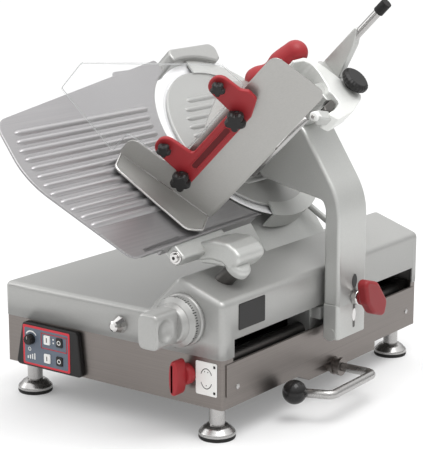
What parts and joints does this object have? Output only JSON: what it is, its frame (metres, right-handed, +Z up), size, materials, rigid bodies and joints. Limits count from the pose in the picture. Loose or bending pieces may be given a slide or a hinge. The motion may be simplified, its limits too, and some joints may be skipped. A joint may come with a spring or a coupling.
{
  "type": "food slicer",
  "caption": "Automatic gravity-feed food slicer: tilted round knife, ribbed gauge plate, sliding product tray with shield and pusher, thickness dial, control panel and a lift lever on feet.",
  "frame": {"origin": "on the bench, under the middle of the bounding box", "axes": "+X right, +Y to the back, +Z up; the operator stands on the -Y side"},
  "size_m": [0.5714, 0.835, 0.6694],
  "materials": {
    "skirt_steel": "brushed",
    "dark_metal": "satin",
    "cover_aluminium": "anodised satin",
    "tray_steel": "brushed",
    "cast_aluminium": "fine blasted",
    "bright_metal": "polished",
    "knife_steel": "ground",
    "black_rubber": "matte",
    "panel_red": "semi-gloss",
    "red_plastic": "moulded",
    "black_plastic": "moulded",
    "white_plastic": "moulded",
    "clear_plastic": "clear"
  },
  "bodies": {
    "base": {"base_skirt": "skirt_steel", "bottom_plate": "dark_metal", "top_cover": "cover_aluminium", "side_panel": "skirt_steel", "panel_screws": "bright_metal", "foot_columns": "bright_metal", "foot_flanges": "bright_metal", "foot_pads": "black_rubber", "control_panel": "panel_red", "knife_support": "cast_aluminium", "knife_bearings": "bright_metal", "knife_motor": "dark_metal", "drive_belt": "black_rubber", "ring_guard": "cast_aluminium", "knife_cover": "cover_aluminium", "sharpener_housing": "cover_aluminium", "lift_bracket": "skirt_steel", "slide_rods": "bright_metal", "carriage_motor": "dark_metal", "carriage_belt": "black_rubber", "slice_deflector": "skirt_steel", "cord_gland": "black_plastic"},
    "knife": {"knife": "knife_steel", "knife_shaft": "bright_metal", "knife_pulley": "dark_metal"},
    "motor_rotor": {"motor_pulley": "dark_metal"},
    "gauge": {"gauge_plate": "cover_aluminium", "gauge_arm": "cast_aluminium", "gauge_shaft": "dark_metal"},
    "dial": {"dial_ring": "cover_aluminium", "dial_grip": "cover_aluminium", "dial_spindle": "bright_metal"},
    "slider": {"carriage_slider": "cast_aluminium"},
    "carriage_drive": {"drive_pulley": "dark_metal"},
    "tray": {"carriage_arm": "cast_aluminium", "tray_wall": "tray_steel", "tray_floor": "tray_steel", "tray_head": "cast_aluminium", "fence_bracket": "red_plastic", "shield": "clear_plastic", "pusher_rail": "bright_metal", "rail_cap": "black_rubber", "hand_knob": "black_plastic"},
    "fence_knob_lower": {"fence_knob_lower": "black_plastic"},
    "fence_knob_upper": {"fence_knob_upper": "black_plastic"},
    "shield_knob_lower": {"shield_knob_lower": "black_plastic"},
    "shield_knob_upper": {"shield_knob_upper": "black_plastic"},
    "lock_knob": {"lock_knob": "red_plastic"},
    "pusher_sleeve": {"pusher_sleeve": "bright_metal"},
    "pusher": {"pusher_plate": "tray_steel", "pusher_grip": "red_plastic"},
    "lift_lever": {"lift_lever": "bright_metal", "lift_ball": "black_plastic"},
    "mode_selector": {"mode_selector": "red_plastic"},
    "speed_knob": {"speed_knob": "black_plastic"},
    "knife_start": {"knife_start": "white_plastic"},
    "knife_stop": {"knife_stop": "black_plastic"},
    "carriage_start": {"carriage_start": "white_plastic"},
    "carriage_stop": {"carriage_stop": "black_plastic"},
    "cover_knob": {"cover_knob": "bright_metal"}
  },
  "joints": [
    {"name": "knife_spin", "type": "hinge", "parent": "base", "child": "knife", "pos_m": [-0.02421, 0.09945, 0.424], "axis": [0.7071, 0, 0.7071], "continuous": true},
    {"name": "motor_spin", "type": "hinge", "parent": "base", "child": "motor_rotor", "pos_m": [0.0776, 0.09945, 0.1935], "axis": [0.7071, 0, 0.7071], "continuous": true},
    {"name": "gauge_slide", "type": "slide", "parent": "base", "child": "gauge", "axis": [-0.7071, 0, -0.7071], "range_m": [0, 0.015]},
    {"name": "dial_turn", "type": "hinge", "parent": "base", "child": "dial", "pos_m": [0.0938, -0.23855, 0.193], "axis": [0, -1, 0], "range_deg": [0, 331]},
    {"name": "carriage_slide", "type": "slide", "parent": "base", "child": "slider", "axis": [0, 1, 0], "range_m": [-0.23, 0.22]},
    {"name": "drive_turn", "type": "hinge", "parent": "base", "child": "carriage_drive", "pos_m": [0.08579, 0.34745, 0.1], "axis": [0, 0, 1], "range_deg": [-1010, 970]},
    {"name": "carriage_tilt", "type": "hinge", "parent": "slider", "child": "tray", "pos_m": [0.19179, 0.10345, 0.12], "axis": [0, 1, 0], "range_deg": [0, 20]},
    {"name": "fence_knob_lower_turn", "type": "hinge", "parent": "tray", "child": "fence_knob_lower", "pos_m": [0.07067, -0.18647, 0.40408], "axis": [0.3758, -0.8471, -0.3758], "range_deg": [0, 270]},
    {"name": "fence_knob_upper_turn", "type": "hinge", "parent": "tray", "child": "fence_knob_upper", "pos_m": [0.17391, -0.18647, 0.50732], "axis": [0.3758, -0.8471, -0.3758], "range_deg": [0, 270]},
    {"name": "shield_knob_lower_turn", "type": "hinge", "parent": "tray", "child": "shield_knob_lower", "pos_m": [0.0585, -0.21357, 0.45301], "axis": [0.3758, -0.8471, -0.3758], "range_deg": [0, 270]},
    {"name": "shield_knob_upper_turn", "type": "hinge", "parent": "tray", "child": "shield_knob_upper", "pos_m": [0.16033, -0.21357, 0.55484], "axis": [0.3758, -0.8471, -0.3758], "range_deg": [0, 270]},
    {"name": "lock_knob_turn", "type": "hinge", "parent": "tray", "child": "lock_knob", "pos_m": [0.23179, 0.11045, 0.177], "axis": [1, 0, 0], "range_deg": [0, 180]},
    {"name": "pusher_slide", "type": "slide", "parent": "tray", "child": "pusher_sleeve", "axis": [0.7071, 0, 0.7071], "range_m": [-0.09, 0]},
    {"name": "pusher_swing", "type": "hinge", "parent": "pusher_sleeve", "child": "pusher", "pos_m": [0.1059, 0.14745, 0.53431], "axis": [-0.7071, 0, -0.7071], "range_deg": [0, 70]},
    {"name": "lift_lever_swing", "type": "hinge", "parent": "base", "child": "lift_lever", "pos_m": [0.17179, 0.11845, 0.047], "axis": [-1, 0, 0], "range_deg": [-8, 10]},
    {"name": "mode_selector_turn", "type": "hinge", "parent": "base", "child": "mode_selector", "pos_m": [0.09879, -0.21855, 0.106], "axis": [0, -1, 0], "range_deg": [0, 90]},
    {"name": "speed_knob_turn", "type": "hinge", "parent": "base", "child": "speed_knob", "pos_m": [-0.22021, -0.22355, 0.107], "axis": [0, -1, 0], "range_deg": [-135, 135]},
    {"name": "cover_knob_turn", "type": "hinge", "parent": "base", "child": "cover_knob", "pos_m": [-0.0332, -0.22355, 0.163], "axis": [0, -1, 0], "range_deg": [0, 180]},
    {"name": "knife_start_press", "type": "slide", "parent": "base", "child": "knife_start", "axis": [0, 1, 0], "range_m": [0, 0.002], "stiffness_N_per_m": 400},
    {"name": "knife_stop_press", "type": "slide", "parent": "base", "child": "knife_stop", "axis": [0, 1, 0], "range_m": [0, 0.002], "stiffness_N_per_m": 400},
    {"name": "carriage_start_press", "type": "slide", "parent": "base", "child": "carriage_start", "axis": [0, 1, 0], "range_m": [0, 0.002], "stiffness_N_per_m": 400},
    {"name": "carriage_stop_press", "type": "slide", "parent": "base", "child": "carriage_stop", "axis": [0, 1, 0], "range_m": [0, 0.002], "stiffness_N_per_m": 400}
  ],
  "couplings": [
    {"joint": "motor_spin", "follows": "knife_spin", "ratio": 2},
    {"joint": "dial_turn", "follows": "gauge_slide", "rad_per_m": 383.97},
    {"joint": "drive_turn", "follows": "carriage_slide", "rad_per_m": 75.188}
  ]
}
